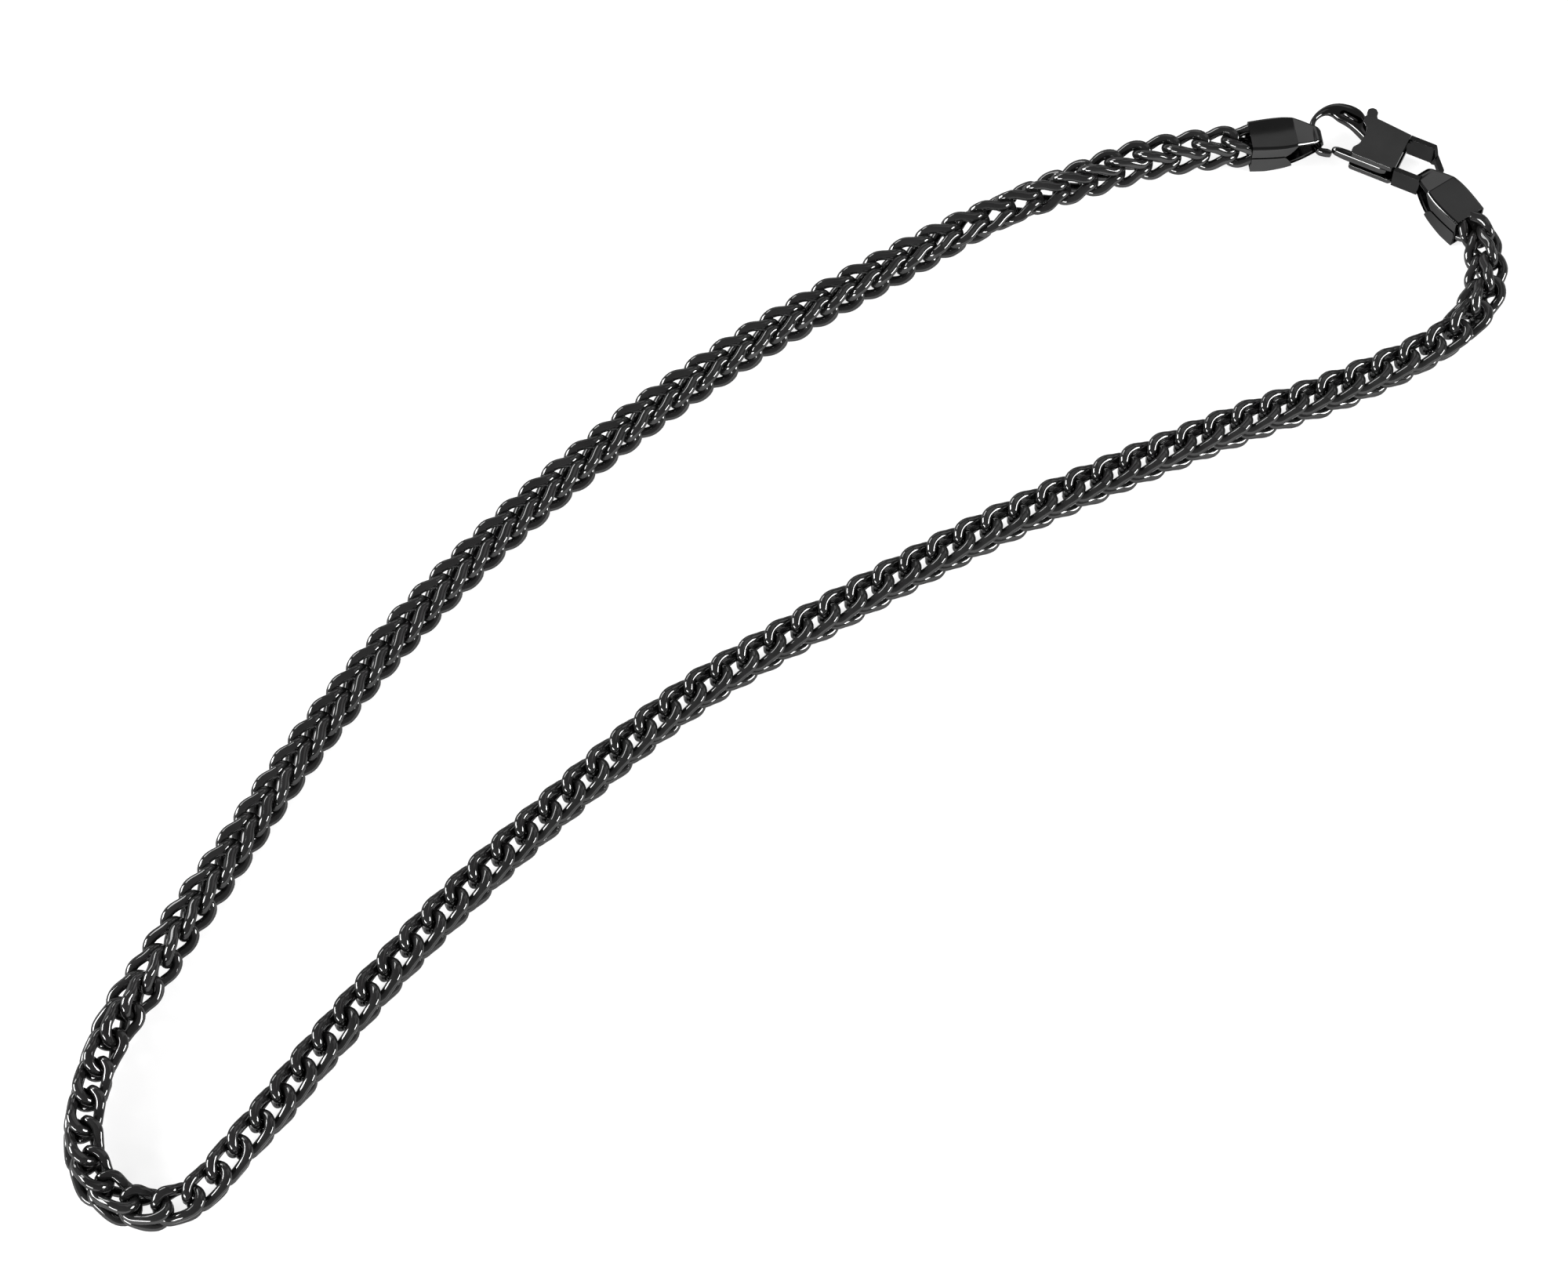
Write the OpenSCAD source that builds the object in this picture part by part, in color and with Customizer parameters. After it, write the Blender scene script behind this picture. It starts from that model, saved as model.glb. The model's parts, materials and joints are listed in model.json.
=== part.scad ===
// Franco chain necklace of square section, closed by a lobster clasp between two folded end caps.
// It lies on a flat surface in one loose loop. The origin is at the middle of its footprint.

/* [Chain] */
// Distance from one link to the next along the chain
link_pitch = 5.04; // [4.96:0.02:5.2]
// Side of the chain's square section
section_w = 5.7; // [5.5:0.1:5.9]
// Thickness of the wire of a link
wire_d = 1.2; // [1:0.05:1.2]
// Distance from a cap's mouth to the middle of the first link, whose end lies inside the cap
link_grip = 3.1; // [3.1:0.1:3.4]
// Space under the links where they lie on the surface
rest_gap = 0.15; // [0.1:0.05:0.4]

/* [End caps] */
// Length of a cap from its mouth to its folded tip
cap_length = 12.5; // [12:0.25:14]
// Height of a cap at its mouth
cap_height = 6.3; // [6.2:0.1:6.8]
// Width of a cap at its mouth
cap_mouth_w = 6; // [5.8:0.1:6.4]
// Width of a cap at its widest place
cap_belly_w = 6.4; // [6.2:0.1:6.8]
// Width of a cap at its tip
cap_tip_w = 2.2; // [2:0.1:2.4]
// Thickness of the caps' steel strip
cap_wall = 0.35; // [0.3:0.05:0.4]
// Radius of the fold at a cap's tip
fold_r = 1.75; // [1.7:0.05:1.9]

/* [Clasp] */
// Length of the clasp's housing
body_length = 7.9; // [7.6:0.1:8.2]
// Width of the clasp's housing
body_width = 7.8; // [7.6:0.1:8.4]
// Thickness of the housing over both plates
body_thick = 4.6; // [4.4:0.1:4.8]
// Thickness of each plate of the housing
plate_thick = 1.1; // [0.9:0.05:1.15]
// Distance from the back of the housing to the top of the hook
hook_reach = 16.7; // [16.5:0.1:17.2]
// Width of the hook's bar where it passes through the cap
hook_bar = 0.9; // [0.7:0.05:0.9]
// Height of the hook's bar where it passes through the cap
hook_bar_h = 1.1; // [0.9:0.05:1.2]
// Thickness of the lever
lever_thick = 2; // [1.6:0.1:2.1]
// Thickness of the pin that the lever turns on
pin_d = 1; // [0.8:0.05:1.1]
// Space round the pin in the lever's bore
pin_gap = 0.05; // [0.03:0.01:0.09]
// Radius of the lever's thumb tab
tab_r = 0.95; // [0.8:0.05:1]

/* [Tail ring] */
// Length of the ring behind the housing
tail_length = 7.4; // [7.2:0.1:7.8]
// Width of the ring
tail_width = 8; // [7.8:0.1:8.2]
// Thickness of the ring's strip
tail_strip = 0.9; // [0.7:0.05:0.9]
// Height of the ring's strip beside the housing
tail_height = 4.2; // [3.8:0.1:4.4]
// Height of the ring's strip where the cap holds it
tail_bar_h = 1.3; // [1.1:0.1:1.4]

/* [Hidden] */
$fn = 48;
wire_sides = 5;
curve_steps = 8;
heading_step = 0.5;
piece_gap = 0.15;

// The clasp's own frame starts at the back of its housing, with the hook along +X and the lever's side at +Y
clasp_place = [136.95, 7.1];
clasp_turn = 115.8;
clasp_z = 3.2;

// Where the caps' folded tips hold the hook and the tail ring, in the clasp's frame
hook_hold = [hook_reach - 1.95, 2.6];
tail_hold = [1.4 - tail_length, 2.5];
left_cap_turn = -31.6;
right_cap_turn = 87;
fold_z = 3.4;
fold_x = cap_length - fold_r;
hold_x = fold_x + 0.35;
tail_hold_x = fold_x - 0.55;

// The route of the chain's middle line from the left cap to the right cap
route_points = [
    [111, 29.5], [104, 33], [92.5, 36.5], [75, 40.5], [53, 43.5], [27, 45.5], [1, 45], [-24.5, 42],
    [-50, 36.5], [-73, 29], [-91, 21.5], [-104, 16], [-111.5, 12.5], [-117.5, 10], [-124.5, 6], [-128.5, 3],
    [-134.5, -3.5], [-136.5, -10.5], [-133.5, -17.5], [-128.5, -20.5], [-114.5, -18], [-97.5, -13], [-74, -7],
    [-46.5, -2.5], [-18.5, 0], [9, -2], [37, -5.5], [64.5, -11], [86, -16.5], [101, -21], [113, -23.5],
    [122, -24], [129.5, -21.5], [133.5, -17.5]
];
// How deep the route's ends lie in the caps, and how far out it starts to bend
route_depth = 8;
route_straight = 2.4;

// How the chain is rolled about its middle line: share of the route, roll in degrees
roll_table = [
    [0, 180], [0.009, 178], [0.024, 165], [0.05, 158], [0.069, 138], [0.093, 115], [0.122, 90], [0.381, 90],
    [0.404, 80], [0.421, 68], [0.431, 55], [0.455, 10], [0.488, 18], [0.509, -15], [0.531, -15], [0.546, -6],
    [0.911, 0], [0.942, -15], [0.955, -32], [0.969, -47], [0.979, -62], [0.99, -85], [1, -90]
];
// The middle line rises where the section stands on an edge: flat and edge heights as shares of section_w
flat_rise = 0.518;
edge_rise = 0.132;

// Half of a link's wire, from the inner fold round one loop to the trailing fold; the other half mirrors it.
// Each row: along as a share of link_pitch, aside and up as shares of section_w
link_half = [
    [-0.635, 0, -0.167], [-0.377, 0.14, -0.368], [0.337, 0.404, -0.36], [0.724, 0.289, -0.096],
    [0.496, 0.123, 0.351], [-0.337, 0.412, 0.368], [-0.714, 0.368, 0.123], [-0.625, 0, 0.079]
];

steel = [0.16, 0.16, 0.18];
dark_steel = [0.11, 0.11, 0.12];

function unit(v) = v / norm(v);
function heading(turn) = [cos(turn), sin(turn)];
function left_of(v) = [-v.y, v.x];
function in_clasp(p) = clasp_place + p.x * heading(clasp_turn) + p.y * left_of(heading(clasp_turn));

// A cap's mouth lies behind the place where its tip holds the clasp
left_mouth = in_clasp(hook_hold) - hold_x * heading(left_cap_turn);
right_mouth = in_clasp(tail_hold) - tail_hold_x * heading(right_cap_turn);

// The whole route, with its ends in line with the caps
route = concat(
    [for (along = [route_depth, 0, -route_straight]) left_mouth + along * heading(left_cap_turn)],
    route_points,
    [for (along = [-route_straight, 0, route_depth]) right_mouth + along * heading(right_cap_turn)]
);
last = len(route) - 1;
chord = [for (i = [0:last - 1]) norm(route[i + 1] - route[i])];
slope = [for (i = [0:last - 1]) (route[i + 1] - route[i]) / chord[i]];
inner_tangent = [
    for (i = [1:last - 1]) (slope[i] * chord[i - 1] + slope[i - 1] * chord[i]) / (chord[i] + chord[i - 1])
];
tangent = concat(
    [2 * slope[0] - inner_tangent[0]],
    inner_tangent,
    [2 * slope[last - 1] - inner_tangent[last - 2]]
);

// A smooth curve through the route's points
function curve_point(i, u) =
    (2 * u^3 - 3 * u^2 + 1) * route[i] + (u^3 - 2 * u^2 + u) * chord[i] * tangent[i]
    + (3 * u^2 - 2 * u^3) * route[i + 1] + (u^3 - u^2) * chord[i] * tangent[i + 1];
curve = concat(
    [for (i = [0:last - 1], k = [0:curve_steps - 1]) curve_point(i, k / curve_steps)],
    [route[last]]
);
function distances(i = 0, total = 0) =
    i == len(curve) - 1
    ? [total]
    : concat([total], distances(i + 1, total + norm(curve[i + 1] - curve[i])));
distance = distances();
route_length = distance[len(distance) - 1];
curve_x = [for (i = [0:len(curve) - 1]) [distance[i], curve[i].x]];
curve_y = [for (i = [0:len(curve) - 1]) [distance[i], curve[i].y]];

function place(s) = [lookup(s, curve_x), lookup(s, curve_y)];
function direction(s) = unit(place(s + heading_step) - place(s - heading_step));
function roll(s) = lookup(s / route_length, roll_table);
function middle_z(s) = section_w * (flat_rise + edge_rise * abs(sin(2 * roll(s)))) + rest_gap;

// A point of a straight link, moved to where the chain runs: along, aside and up in the link's own frame
function on_route(start, p) =
    let (
        s = start + p.x,
        turn = roll(s),
        left = p.z * cos(turn) - p.y * sin(turn),
        up = -p.z * sin(turn) - p.y * cos(turn),
        at = place(s) + left * left_of(direction(s))
    )
    [at.x, at.y, middle_z(s) + up];

// The straight link's wire, its tangents and its section, carried round without twist and closed evenly
half_turns = len(link_half) - 1;
wire = [
    for (i = [0:2 * half_turns - 1])
        let (row = i <= half_turns ? link_half[i] : link_half[2 * half_turns - i])
        [row.x * link_pitch, (i <= half_turns ? 1 : -1) * row.y * section_w, row.z * section_w]
];
stations = len(wire);
wire_tangent = [
    for (i = [0:stations - 1]) unit(wire[(i + 1) % stations] - wire[(i + stations - 1) % stations])
];
function square_to(v, t) = unit(v - t * (v * t));
function carried(v, i = 1) =
    i == stations ? [v] : concat([v], carried(square_to(v, wire_tangent[i]), i + 1));
section_side = carried(unit(cross(wire_tangent[0], [1, 0, 0.6])));
closing = square_to(section_side[stations - 1], wire_tangent[0]);
twist = atan2(cross(section_side[0], closing) * wire_tangent[0], section_side[0] * closing);
link_points = [
    for (i = [0:stations - 1], k = [0:wire_sides - 1])
        let (a = 360 * k / wire_sides - twist * i / stations)
        wire[i] + wire_d / 2 * (cos(a) * section_side[i] + sin(a) * cross(wire_tangent[i], section_side[i]))
];
function ring_point(i, k) = (i % stations) * wire_sides + k % wire_sides;
link_faces = [
    for (i = [0:stations - 1], k = [0:wire_sides - 1])
        each [
            [ring_point(i, k), ring_point(i + 1, k + 1), ring_point(i, k + 1)],
            [ring_point(i, k), ring_point(i + 1, k), ring_point(i + 1, k + 1)]
        ]
];

first_link = route_depth + link_grip;
links = round((route_length - 2 * first_link) / link_pitch) + 1;
// The last link of the upper strand, in the turn where the lower strand starts
turn_link = floor(links * 0.49);
link_step = (route_length - 2 * first_link) / (links - 1);
chain_points = [
    for (n = [0:links - 1]) [for (p = link_points) on_route(first_link + n * link_step, p)]
];

// The middle of the footprint, which becomes the origin
all_x = [for (link = chain_points, p = link) p.x];
all_y = [for (link = chain_points, p = link) p.y];
right_end = max([for (p = tail_outline(0)) in_clasp(p).x]);
middle = [(min(all_x) + right_end) / 2, (min(all_y) + max(all_y)) / 2, 0];

// The tail ring's outline in the clasp's frame, moved inwards by inset
function tail_outline(inset) =
    let (
        side = tail_width / 2 - inset,
        end = tail_length - inset,
        nose = 0.8 - 0.4 * inset,
        shoulder = tail_length * 0.64 - 0.35 * inset
    )
    [[0, -side], [-shoulder, -side], [-end, -nose], [-end, nose], [-shoulder, side], [0, side]];

module in_clasp_frame() {
    translate([clasp_place.x, clasp_place.y, clasp_z] - middle)
        rotate([0, 0, clasp_turn])
            children();
}

// A plan outline in the clasp's frame, given thickness about the clasp's middle plane
module slab(thick) {
    translate([0, 0, -thick / 2])
        linear_extrude(thick)
            children();
}

// The links from one to another, counted from the left cap
module strand(from, to) {
    color(steel)
        translate(-middle)
            for (n = [from:to])
                polyhedron(chain_points[n], link_faces);
}

module upper_chain() {
    strand(0, turn_link);
}

module lower_chain() {
    strand(turn_link + 1, links - 1);
}

// Side view of a cap, mouth at X = 0, drawn in by the strip's thickness for the hollow
module cap_side(inset) {
    bottom_bend = cap_length * 0.2;
    top_bend = cap_length * 0.62;
    r = fold_r - inset;
    start = inset > 0 ? -1 : 0;
    polygon([
        [start, inset], [bottom_bend, inset], [fold_x, fold_z - r],
        [fold_x, fold_z + r], [top_bend, cap_height - inset], [start, cap_height - inset]
    ]);
    translate([fold_x, fold_z])
        circle(r);
}

module cap_plan(inset) {
    mouth = cap_mouth_w / 2 - inset;
    belly = cap_belly_w / 2 - inset;
    tip = cap_tip_w / 2 - inset;
    start = inset > 0 ? -1 : 0;
    belly_x = cap_length * 0.45;
    taper_x = cap_length * 0.66;
    polygon([
        [start, -mouth], [belly_x, -belly], [taper_x, -belly], [cap_length, -tip],
        [cap_length, tip], [taper_x, belly], [belly_x, belly], [start, mouth]
    ]);
}

module side_prism(width) {
    translate([0, width / 2, 0])
        rotate([90, 0, 0])
            linear_extrude(width)
                children();
}

// A strip folded over at the tip, with side walls beside the chain and open beside the clasp
module cap(mouth, turn) {
    window_x = cap_length * 0.5;
    translate([mouth.x, mouth.y, 0] - middle)
        rotate([0, 0, turn])
            difference() {
                intersection() {
                    side_prism(cap_belly_w)
                        cap_side(0);
                    linear_extrude(cap_height)
                        cap_plan(0);
                }
                intersection() {
                    side_prism(cap_belly_w)
                        cap_side(cap_wall);
                    linear_extrude(cap_height)
                        cap_plan(cap_wall);
                }
                intersection() {
                    side_prism(cap_belly_w + 1)
                        cap_side(cap_wall);
                    translate([window_x, -cap_belly_w, 0])
                        cube([cap_length, 2 * cap_belly_w, cap_height]);
                }
            }
}

module left_cap() {
    color(dark_steel)
        cap(left_mouth, left_cap_turn);
}

module right_cap() {
    color(dark_steel)
        cap(right_mouth, right_cap_turn);
}

// Places in the clasp's frame
half_width = body_width / 2;
slot_h = body_thick - 2 * plate_thick;
pivot = [body_length * 0.53, 1];
eye_x = body_length - 0.9;
tongue_tip = [hook_reach - 6.1, half_width - 0.4];
tongue_r = 0.5;
hook_end = [hook_reach - 5.1, half_width + 0.4];
tab_place = [body_length - 0.1, -half_width - 2.3];
pin_recess = 0.1;

// One plate of the housing in plan, hollowed where it faces the hook
module plate_plan() {
    polygon([
        [0, -half_width], [body_length * 0.75, -half_width - 0.6],
        [body_length + 0.6, -half_width - 0.5], [body_length + 0.4, -half_width + 1],
        [eye_x + 0.3, -2], [eye_x, -0.3], [eye_x + 0.2, 1.5], [body_length, 2.6],
        [body_length - 0.1, half_width], [0.6, half_width], [0, half_width - 0.5]
    ]);
}

// The hook's bar in plan: the outer side from its root to its end, then the inner side back
module hook_plan() {
    polygon([
        [eye_x + 0.4, -0.7], [eye_x + 0.4, -3.4], [body_length + 0.6, -4.3],
        [body_length + 1.3, -half_width - 1.8], [hook_reach - 4.7, -half_width - 2.3],
        [hook_reach - 2.9, -half_width - 1.9], [hook_reach - 1.3, -half_width - 0.8],
        [hook_reach - 0.4, -half_width + 0.9], [hook_reach, -1], [hook_reach - 0.2, 0.6],
        [hook_reach - 0.8, 1.9], [hook_hold.x + 0.4, hook_hold.y + 0.4],
        [hook_hold.x - 0.5, hook_hold.y + 1.7], [hook_hold.x - 1.7, hook_hold.y + 2.4],
        [hook_end.x + 0.2, hook_end.y + 0.5], [hook_end.x - 0.3, hook_end.y + 0.3],
        [hook_end.x - 0.3, hook_end.y - 0.4], [hook_hold.x - 2, hook_hold.y + 1.4],
        [hook_hold.x - 1.3, hook_hold.y + 1], [hook_hold.x - 0.7 * hook_bar, hook_hold.y],
        [hook_reach - 0.8 - hook_bar, 1.2], [hook_reach - hook_bar - 0.1, -0.2],
        [hook_reach - hook_bar, -1.2], [hook_reach - 1.4, -2.5], [hook_reach - 2.6, -3.2],
        [hook_reach - 4.4, -2.5], [hook_reach - 6.6, -2.2], [body_length + 0.8, -1.4]
    ]);
}

// The hook's bar seen from the side: as thick as the housing at its root, thin where the cap holds it
module hook_side() {
    root = body_thick / 2 - pin_recess;
    neck = slot_h / 2 + 0.3;
    polygon([
        [eye_x, -root], [body_length + 1, -neck], [hook_reach - 3, -hook_bar_h / 2],
        [hook_reach + 1, -hook_bar_h / 2], [hook_reach + 1, hook_bar_h / 2],
        [hook_reach - 3, hook_bar_h / 2], [body_length + 1, neck], [eye_x, root]
    ]);
}

// Housing of two plates, the hook between them and the pin of the lever
module clasp_body() {
    color(steel)
        in_clasp_frame() {
            for (side = [-1, 1])
                translate([0, 0, side * (body_thick - plate_thick) / 2])
                    slab(plate_thick)
                        plate_plan();
            intersection() {
                slab(body_thick)
                    hook_plan();
                side_prism(3 * body_width)
                    hook_side();
            }
            translate([pivot.x, pivot.y, 0])
                cylinder(h = body_thick - 2 * pin_recess, d = pin_d, center = true);
        }
}

// The lever in plan: its heel and web round the pin, the arm to the thumb tab, then the tongue
module lever_plan() {
    heel_x = 1.2;
    side = half_width - 0.1;
    polygon([
        [heel_x + 0.7, side - 1.5], [pivot.x - 1.4, pivot.y - 0.9], [pivot.x - 0.2, pivot.y - 2.4],
        [tab_place.x - 2.2, -half_width - 0.2], [tab_place.x - 0.8, tab_place.y],
        [tab_place.x + 0.8, tab_place.y + 0.3], [tab_place.x + 0.1, tab_place.y + 1.8],
        [eye_x - 0.1, -side], [eye_x - 0.5, -2.2], [eye_x - 0.6, 1.2], [body_length, side - 1.4],
        [tongue_tip.x, tongue_tip.y - tongue_r], [tongue_tip.x, tongue_tip.y + tongue_r],
        [body_length, side], [heel_x + 0.7, side], [heel_x, side - 0.5], [heel_x, side - 1.2]
    ]);
}

// Lever between the plates: a tongue that shuts the hook, a web round the pin and a thumb tab
module clasp_lever() {
    color(dark_steel)
        in_clasp_frame()
            difference() {
                union() {
                    slab(lever_thick)
                        lever_plan();
                    translate([tongue_tip.x, tongue_tip.y, 0])
                        cylinder(h = lever_thick, r = tongue_r, center = true);
                    translate([tab_place.x, tab_place.y, 0])
                        cylinder(h = lever_thick, r = tab_r, center = true);
                }
                translate([pivot.x, pivot.y, 0])
                    cylinder(h = body_thick, d = pin_d + 2 * pin_gap, center = true);
            }
}

// The tail ring seen from the side: high beside the housing, thin where the cap holds it
module ring_side() {
    high = tail_height / 2;
    low = tail_bar_h / 2;
    taper_start = -0.34 * tail_length;
    taper_end = -0.5 * tail_length;
    polygon([
        [-piece_gap, -high], [taper_start, -high], [taper_end, -low], [-tail_length - 1, -low],
        [-tail_length - 1, low], [taper_end, low], [taper_start, high], [-piece_gap, high]
    ]);
}

// Ring of flat strip behind the housing, held by a foot between the plates
module clasp_tail_ring() {
    foot_l = 1.5;
    foot_back = -0.8;
    foot_h = slot_h - piece_gap;
    color(steel)
        in_clasp_frame() {
            intersection() {
                slab(tail_height)
                    difference() {
                        polygon(tail_outline(0));
                        polygon(tail_outline(tail_strip));
                    }
                side_prism(2 * tail_width)
                    ring_side();
            }
            slab(foot_h)
                polygon([
                    [foot_back, -tail_width / 2 + 0.1], [foot_l, -half_width + 0.3],
                    [foot_l, -half_width + 1.4], [foot_back, -tail_width / 2 + tail_strip - 0.1]
                ]);
        }
}

upper_chain();
lower_chain();
left_cap();
right_cap();
clasp_body();
clasp_lever();
clasp_tail_ring();
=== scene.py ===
import json
import math

import bpy
import numpy as np
from mathutils import Matrix, Vector

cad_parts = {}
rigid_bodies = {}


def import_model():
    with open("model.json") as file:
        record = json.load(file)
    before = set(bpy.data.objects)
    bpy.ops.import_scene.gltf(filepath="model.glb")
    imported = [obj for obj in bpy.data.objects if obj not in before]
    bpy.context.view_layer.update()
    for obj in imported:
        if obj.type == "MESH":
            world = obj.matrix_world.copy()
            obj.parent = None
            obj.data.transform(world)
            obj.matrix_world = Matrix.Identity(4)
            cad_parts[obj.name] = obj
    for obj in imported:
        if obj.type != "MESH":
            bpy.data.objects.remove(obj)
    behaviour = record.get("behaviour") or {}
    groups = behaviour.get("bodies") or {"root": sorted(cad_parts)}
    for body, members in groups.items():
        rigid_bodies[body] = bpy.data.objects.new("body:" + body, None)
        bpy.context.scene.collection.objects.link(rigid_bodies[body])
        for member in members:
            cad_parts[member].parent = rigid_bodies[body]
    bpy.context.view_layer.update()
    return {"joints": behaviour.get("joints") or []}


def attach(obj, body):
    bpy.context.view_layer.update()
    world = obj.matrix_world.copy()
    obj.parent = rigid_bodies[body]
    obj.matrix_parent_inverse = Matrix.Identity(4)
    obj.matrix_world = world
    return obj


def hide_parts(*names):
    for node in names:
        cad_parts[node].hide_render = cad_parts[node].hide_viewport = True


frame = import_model()

# The pieces are built in millimetres and scaled to metres when they are dressed
MM = 0.001

# Chain
LINK_PITCH = 5.04
SECTION_W = 5.7
WIRE_D = 1.65
# Distance from a cap's mouth to the middle of the first link, half of which runs into the cap
LINK_GRIP = 0.58
REST_GAP = 0.15
FLOOR_GAP = 0.02
LINK_STATIONS = 96
WIRE_SIDES = 16
# Half of the side of the square that the links' outer sides are ground to, and how softly
GROUND_HALF = 2.66
GROUND_SOFT = 0.14
# Share of the links that lie in the upper strand
UPPER_SHARE = 0.49

# Caps
CAP_LENGTH = 12.5
CAP_HEIGHT = 6.3
CAP_MOUTH_W = 6
CAP_BELLY_W = 6.4
CAP_TIP_W = 2.2
CAP_WALL = 0.35
FOLD_R = 1.75
FOLD_Z = 3.4
FOLD_X = CAP_LENGTH - FOLD_R
# Where a cap's folded tip holds the hook and the tail ring
HOLD_X = FOLD_X + 0.35
TAIL_HOLD_X = FOLD_X - 0.55
# Where a cap's underside and top start to slope, and how far along it is widest
CAP_LOW_BEND = CAP_LENGTH * 0.2
CAP_TOP_BEND = CAP_LENGTH * 0.61
BELLY_SHARE = 0.4
# Radii of a cap's long corners, outside and in its hollow
CAP_CORNER = 0.6
HOLLOW_CORNER = 0.35
# The lower strip's side walls: how far they stand out and reach in, and their heights
FLANGE_PROUD = 0.14
FLANGE_INNER = 0.24
FLANGE_LIFT = 0.03
FLANGE_TOP = 3.59

# Clasp
BODY_LENGTH = 7.9
BODY_WIDTH = 7.8
BODY_THICK = 4.6
PLATE_THICK = 1.1
HOOK_REACH = 16.7
LEVER_THICK = 2
PIN_D = 1
PIN_GAP = 0.05
TAIL_LENGTH = 7.4
TAIL_WIDTH = 8
TAIL_STRIP = 0.9
TAIL_HEIGHT = 4.2
TAIL_BAR_H = 1.3
PIECE_GAP = 0.15
CLASP_PLACE = np.array([136.95, 7.1])
CLASP_TURN = 115.8
CLASP_Z = 3.2
# The housing's end on the side of the hook
EYE_X = BODY_LENGTH - 0.9
PIVOT = (BODY_LENGTH * 0.53, 1)
HOOK_HOLD = (HOOK_REACH - 1.95, 2.6)
TAIL_HOLD = (1.4 - TAIL_LENGTH, 2.5)
# The recess in the hook's root, the rod that lies in it, and the groove in the lever's bar
RECESS_FROM = (9.2, -3.35)
RECESS_TO = (12.1, -3.85)
RECESS_R = 0.66
RECESS_FLOOR = 0.45
SPRING_R = 0.27
SPRING_ASIDE = 0.1
SPRING_Z = 1.1
GROOVE_SPAN = (3.2, 8.4)
GROOVE_DEPTH = 0.16
GROOVE_HALF = 0.28
# Where the caps point
LEFT_CAP_TURN = -31.6
RIGHT_CAP_TURN = 87

# The route of the chain's middle line from the left cap to the right cap
ROUTE_POINTS = [
    (111, 29.5), (104, 33), (92.5, 36.5), (75, 40.5), (53, 43.5), (27, 45.5), (1, 45), (-24.5, 42),
    (-50, 36.5), (-73, 29), (-91, 21.5), (-104, 16), (-111.5, 12.5), (-117.5, 10), (-124.5, 6),
    (-128.5, 3), (-134.5, -3.5), (-136.5, -10.5), (-133.5, -17.5), (-128.5, -20.5), (-114.5, -18),
    (-97.5, -13), (-74, -7), (-46.5, -2.5), (-18.5, 0), (9, -2), (37, -5.5), (64.5, -11), (86, -16.5),
    (101, -21), (113, -23.5), (122, -24), (129.5, -21.5), (133.5, -17.5),
]
ROUTE_DEPTH = 8
ROUTE_STRAIGHT = 2.4
CURVE_STEPS = 32
HEADING_STEP = 0.5
# Where the thicker wire would pass the solids' box, the chain lies a little further in.
# Each row: axis, where it begins, over what length it grows, by how much
TURN_SHIFTS = [(0, -125, 9, 0.52), (1, -18, 4, 0.27)]

# How the chain is rolled about its middle line: share of the route, roll in degrees
ROLL_TABLE = [
    (0, 180), (0.009, 178), (0.024, 165), (0.05, 158), (0.069, 138), (0.093, 115), (0.122, 90),
    (0.381, 90), (0.404, 80), (0.421, 68), (0.431, 55), (0.455, 10), (0.488, 18), (0.509, -15),
    (0.531, -15), (0.546, -6), (0.911, 0), (0.942, -15), (0.955, -32), (0.969, -47), (0.979, -62),
    (0.99, -85), (1, -90),
]
FLAT_RISE = 0.518
EDGE_RISE = 0.132

# Half of a link's wire, from the inner fold round one loop to the trailing fold; the other half
# mirrors it. Each row: along, aside and up, in millimetres
LINK_HALF = [
    (-3.18, 0, -0.84), (-2.85, 0.7, -1.32), (-1.75, 0.73, -1.97), (-0.6, 1.08, -2.07),
    (0.6, 1.72, -2.07), (1.75, 2.05, -1.9), (2.88, 1.98, -1.2), (3.43, 1.4, 0), (2.9, 0.8, 1.22),
    (1.8, 0.76, 1.92), (0.6, 1.08, 2.07), (-0.6, 1.72, 2.07), (-1.78, 2.03, 1.9),
    (-2.93, 2.02, 1.18), (-3.48, 1.3, 0.23), (-3.24, 0, 0.55),
]
SPLINE_STEPS = 40

# Share of an edge that a rounded corner may take
CORNER_ROOM = 0.48
# The chain's rings are built with their faces outwards, and are too many to be tested for it
TESTED_FACES = 5000

# The steel's noise: the smudges' scale against the clouds', the polishing lines' scale per metre,
# their turn in radians and their depth against the wave's, and the wave's scale per metre
SMUDGE_SHARE = 2.3
LINE_SCALE = 2500.0
LINE_TURN = 0.7
LINE_DEPTH = 0.06
WAVE_SCALE = 420.0
# How bright the steel mirrors at a grazing angle
REFLECTED_GREY = 0.35

# Lamps that point at the middle of the necklace, in metres and degrees. Each row: name, azimuth,
# elevation, distance, width, height, brightness where white paper is 1
SOFTBOXES = [
    ("right_box", -50, 21, 2.0, 1.0, 0.6, 30),
    ("left_box", 140, 24, 2.0, 1.1, 0.8, 26),
    ("back_box", 92, 36, 2.0, 0.9, 0.5, 9),
    ("front_box", -165, 12, 2.0, 1.2, 0.5, 26),
]
# Each row: name, place, target, width, height, brightness
PANELS = [
    ("ceiling", (0.75, 0.115, 1.0), (0.75, 0.115, 0), 0.8, 0.72, 0.42),
    ("right_panel", (1.3, 0.2, 0.65), (0.12, 0, 0), 0.6, 0.5, 0.75),
    ("back_panel", (0.7, 1.1, 0.6), (0.12, 0, 0), 0.7, 0.5, 0.75),
]
# The studio's grey from the horizon up. Each row: height, brightness
SKY = [(0.0, 0.3), (0.3, 0.26), (0.5, 0.2), (0.8, 0.17)]
# The white table glows round the necklace and fades outwards
FLOOR_HALF = 4.0
FLOOR_GREY = 0.3
GLOW_REACH = (0.25, 0.6)
GLOW = (0.8, 0.1)

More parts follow.
